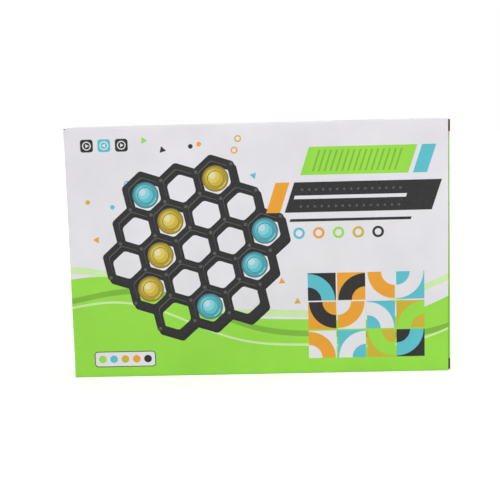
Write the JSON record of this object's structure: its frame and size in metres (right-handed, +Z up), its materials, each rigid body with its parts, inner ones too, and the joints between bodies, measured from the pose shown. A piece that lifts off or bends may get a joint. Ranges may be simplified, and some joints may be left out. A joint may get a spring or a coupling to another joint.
{
  "type": "boxed ball bounce party game",
  "caption": "Reverse tuck end carton of fluted board, standing upright, with a card insert that holds a peg grid, ball trays, balls, cards and a leaflet.",
  "frame": {"origin": "middle of the footprint, on the surface that the carton stands on", "axes": "+X along the width to the right seen from the front, +Y from the front panel to the back panel, +Z up"},
  "size_m": [0.33, 0.046, 0.219],
  "materials": {
    "printed_board": "print on coated white liner over kraft fluting, satin",
    "printed_end": "lime green print on the outside, bare kraft inside, satin",
    "insert_card": "uncoated folded card, matt",
    "grid_plastic": "moulded charcoal black plastic, fine texture",
    "cyan_tray": "moulded plastic, semi gloss",
    "orange_tray": "moulded plastic, semi gloss",
    "cyan_ball": "smooth gloss",
    "yellow_ball": "smooth gloss",
    "card_stock": "coated card, satin",
    "leaflet_paper": "uncoated paper, matt"
  },
  "bodies": {
    "carton": {"carton_tube": "printed_board", "insert_tray": "insert_card", "insert_shelf": "insert_card", "grid_half_with_lobes": "grid_plastic", "grid_half_with_notches": "grid_plastic", "ball_tray_cyan_1": "cyan_tray", "ball_tray_cyan_2": "cyan_tray", "ball_cyan_1": "cyan_ball", "ball_cyan_2": "cyan_ball", "ball_cyan_3": "cyan_ball", "ball_cyan_4": "cyan_ball", "ball_cyan_5": "cyan_ball", "ball_cyan_6": "cyan_ball", "ball_cyan_7": "cyan_ball", "ball_cyan_8": "cyan_ball", "ball_tray_orange_1": "orange_tray", "ball_tray_orange_2": "orange_tray", "ball_yellow_1": "yellow_ball", "ball_yellow_2": "yellow_ball", "ball_yellow_3": "yellow_ball", "ball_yellow_4": "yellow_ball", "ball_yellow_5": "yellow_ball", "ball_yellow_6": "yellow_ball", "ball_yellow_7": "yellow_ball", "ball_yellow_8": "yellow_ball", "challenge_card_01": "card_stock", "challenge_card_02": "card_stock", "challenge_card_03": "card_stock", "challenge_card_04": "card_stock", "challenge_card_05": "card_stock", "challenge_card_06": "card_stock", "challenge_card_07": "card_stock", "challenge_card_08": "card_stock", "challenge_card_09": "card_stock", "challenge_card_10": "card_stock", "challenge_card_11": "card_stock", "challenge_card_12": "card_stock", "rules_leaflet": "leaflet_paper"},
    "right_closure": {"right_closure": "printed_end"},
    "right_tuck_flap": {"right_tuck_flap": "printed_end"},
    "right_top_dust_flap": {"right_top_dust_flap": "printed_board"},
    "right_bottom_dust_flap": {"right_bottom_dust_flap": "printed_board"},
    "left_closure": {"left_closure": "printed_end"},
    "left_tuck_flap": {"left_tuck_flap": "printed_end"},
    "left_top_dust_flap": {"left_top_dust_flap": "printed_board"},
    "left_bottom_dust_flap": {"left_bottom_dust_flap": "printed_board"}
  },
  "joints": [
    {"name": "right_closure_crease", "type": "hinge", "parent": "carton", "child": "right_closure", "pos_m": [0.1641, 0.0221, 0.1095], "axis": [0, 0, 1], "range_deg": [0, 150]},
    {"name": "right_tuck_flap_crease", "type": "hinge", "parent": "right_closure", "child": "right_tuck_flap", "pos_m": [0.1641, -0.02, 0.1095], "axis": [0, 0, 1], "range_deg": [-15, 0]},
    {"name": "right_top_dust_flap_crease", "type": "hinge", "parent": "carton", "child": "right_top_dust_flap", "pos_m": [0.162, 0, 0.2181], "axis": [0, -1, 0], "range_deg": [0, 90]},
    {"name": "right_bottom_dust_flap_crease", "type": "hinge", "parent": "carton", "child": "right_bottom_dust_flap", "pos_m": [0.162, 0, 0.0009], "axis": [0, 1, 0], "range_deg": [0, 90]},
    {"name": "left_closure_crease", "type": "hinge", "parent": "carton", "child": "left_closure", "pos_m": [-0.1641, -0.0221, 0.1095], "axis": [0, 0, 1], "range_deg": [0, 150]},
    {"name": "left_tuck_flap_crease", "type": "hinge", "parent": "left_closure", "child": "left_tuck_flap", "pos_m": [-0.1641, 0.02, 0.1095], "axis": [0, 0, 1], "range_deg": [-15, 0]},
    {"name": "left_top_dust_flap_crease", "type": "hinge", "parent": "carton", "child": "left_top_dust_flap", "pos_m": [-0.162, 0, 0.2181], "axis": [0, 1, 0], "range_deg": [0, 90]},
    {"name": "left_bottom_dust_flap_crease", "type": "hinge", "parent": "carton", "child": "left_bottom_dust_flap", "pos_m": [-0.162, 0, 0.0009], "axis": [0, -1, 0], "range_deg": [0, 90]}
  ],
  "couplings": [
    {"joint": "right_tuck_flap_crease", "follows": "right_closure_crease", "ratio": -0.1},
    {"joint": "right_top_dust_flap_crease", "follows": "right_closure_crease", "ratio": 0.6},
    {"joint": "right_bottom_dust_flap_crease", "follows": "right_closure_crease", "ratio": 0.6},
    {"joint": "left_tuck_flap_crease", "follows": "left_closure_crease", "ratio": -0.1},
    {"joint": "left_top_dust_flap_crease", "follows": "left_closure_crease", "ratio": 0.6},
    {"joint": "left_bottom_dust_flap_crease", "follows": "left_closure_crease", "ratio": 0.6}
  ]
}
